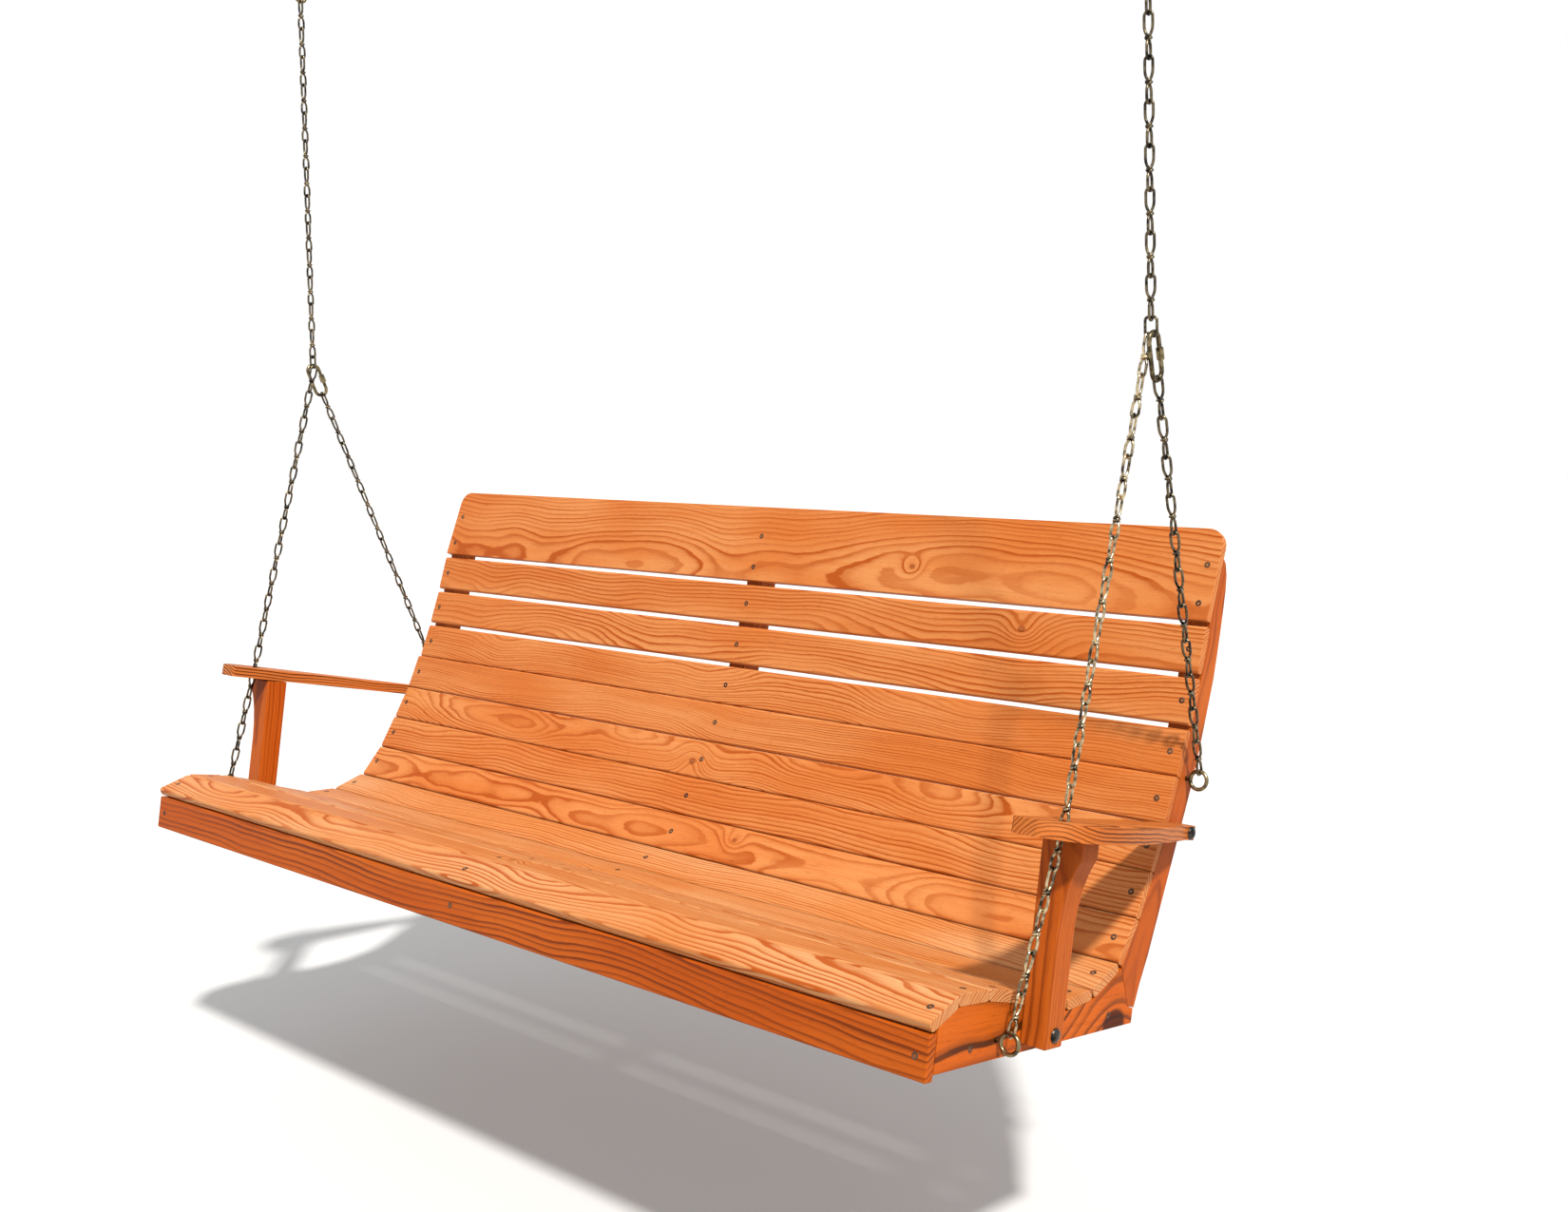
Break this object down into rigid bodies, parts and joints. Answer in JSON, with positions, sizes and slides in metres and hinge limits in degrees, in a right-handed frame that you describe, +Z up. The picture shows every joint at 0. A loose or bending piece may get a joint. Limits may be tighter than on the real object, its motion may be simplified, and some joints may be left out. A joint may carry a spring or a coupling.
{
  "type": "porch swing",
  "caption": "Slatted wooden bench swing with arms, contoured seat and back, hung on two Y-shaped chains from ceiling hangers.",
  "frame": {"origin": "ceiling plane, midway between the two ceiling hangers", "axes": "+X to the right seen from the front, +Y towards the backrest, +Z up"},
  "size_m": [2.0152, 0.7072, 1.6998],
  "materials": {
    "seat_wood": "satin",
    "back_wood": "satin",
    "apron_wood": "satin",
    "frame_wood": "satin",
    "chain_steel": "satin",
    "zinc_steel": "satin",
    "dark_steel": "satin",
    "hanger_steel": "satin"
  },
  "bodies": {
    "hangers": {"left_ceiling_hanger": "hanger_steel", "right_ceiling_hanger": "hanger_steel"},
    "upper_chains": {"left_top_hook": "zinc_steel", "left_upper_chain": "chain_steel", "right_top_hook": "zinc_steel", "right_upper_chain": "chain_steel"},
    "bench": {"back_slat_1": "back_wood", "back_slat_2": "back_wood", "back_slat_3": "back_wood", "back_slat_4": "back_wood", "back_slat_5": "back_wood", "back_slat_6": "back_wood", "back_slat_7": "back_wood", "front_apron": "apron_wood", "left_arm": "frame_wood", "left_arm_bolt": "dark_steel", "left_arm_nut": "dark_steel", "left_arm_post": "frame_wood", "left_back_support": "frame_wood", "left_front_chain": "chain_steel", "left_front_eye_bolt": "zinc_steel", "left_front_eye_nut": "zinc_steel", "left_post_bolt": "dark_steel", "left_post_nut": "dark_steel", "left_quick_link": "zinc_steel", "left_quick_link_nut": "zinc_steel", "left_rear_chain": "chain_steel", "left_rear_eye_bolt": "zinc_steel", "left_rear_eye_nut": "zinc_steel", "left_seat_support": "frame_wood", "middle_back_support": "frame_wood", "middle_seat_support": "frame_wood", "right_arm": "frame_wood", "right_arm_bolt": "dark_steel", "right_arm_nut": "dark_steel", "right_arm_post": "frame_wood", "right_back_support": "frame_wood", "right_front_chain": "chain_steel", "right_front_eye_bolt": "zinc_steel", "right_front_eye_nut": "zinc_steel", "right_post_bolt": "dark_steel", "right_post_nut": "dark_steel", "right_quick_link": "zinc_steel", "right_quick_link_nut": "zinc_steel", "right_rear_chain": "chain_steel", "right_rear_eye_bolt": "zinc_steel", "right_rear_eye_nut": "zinc_steel", "right_seat_support": "frame_wood", "seat_slat_1": "seat_wood", "seat_slat_2": "seat_wood", "seat_slat_3": "seat_wood", "seat_slat_4": "seat_wood", "seat_slat_5": "seat_wood", "seat_slat_6": "seat_wood", "seat_slat_7": "seat_wood", "top_board": "back_wood"}
  },
  "joints": [
    {"name": "swing", "type": "hinge", "parent": "hangers", "child": "upper_chains", "pos_m": [0, 0, -0.032], "axis": [1, 0, 0], "range_deg": [-25, 25]},
    {"name": "rock", "type": "hinge", "parent": "upper_chains", "child": "bench", "pos_m": [0, 0, -0.772], "axis": [1, 0, 0], "range_deg": [-12, 12]}
  ]
}
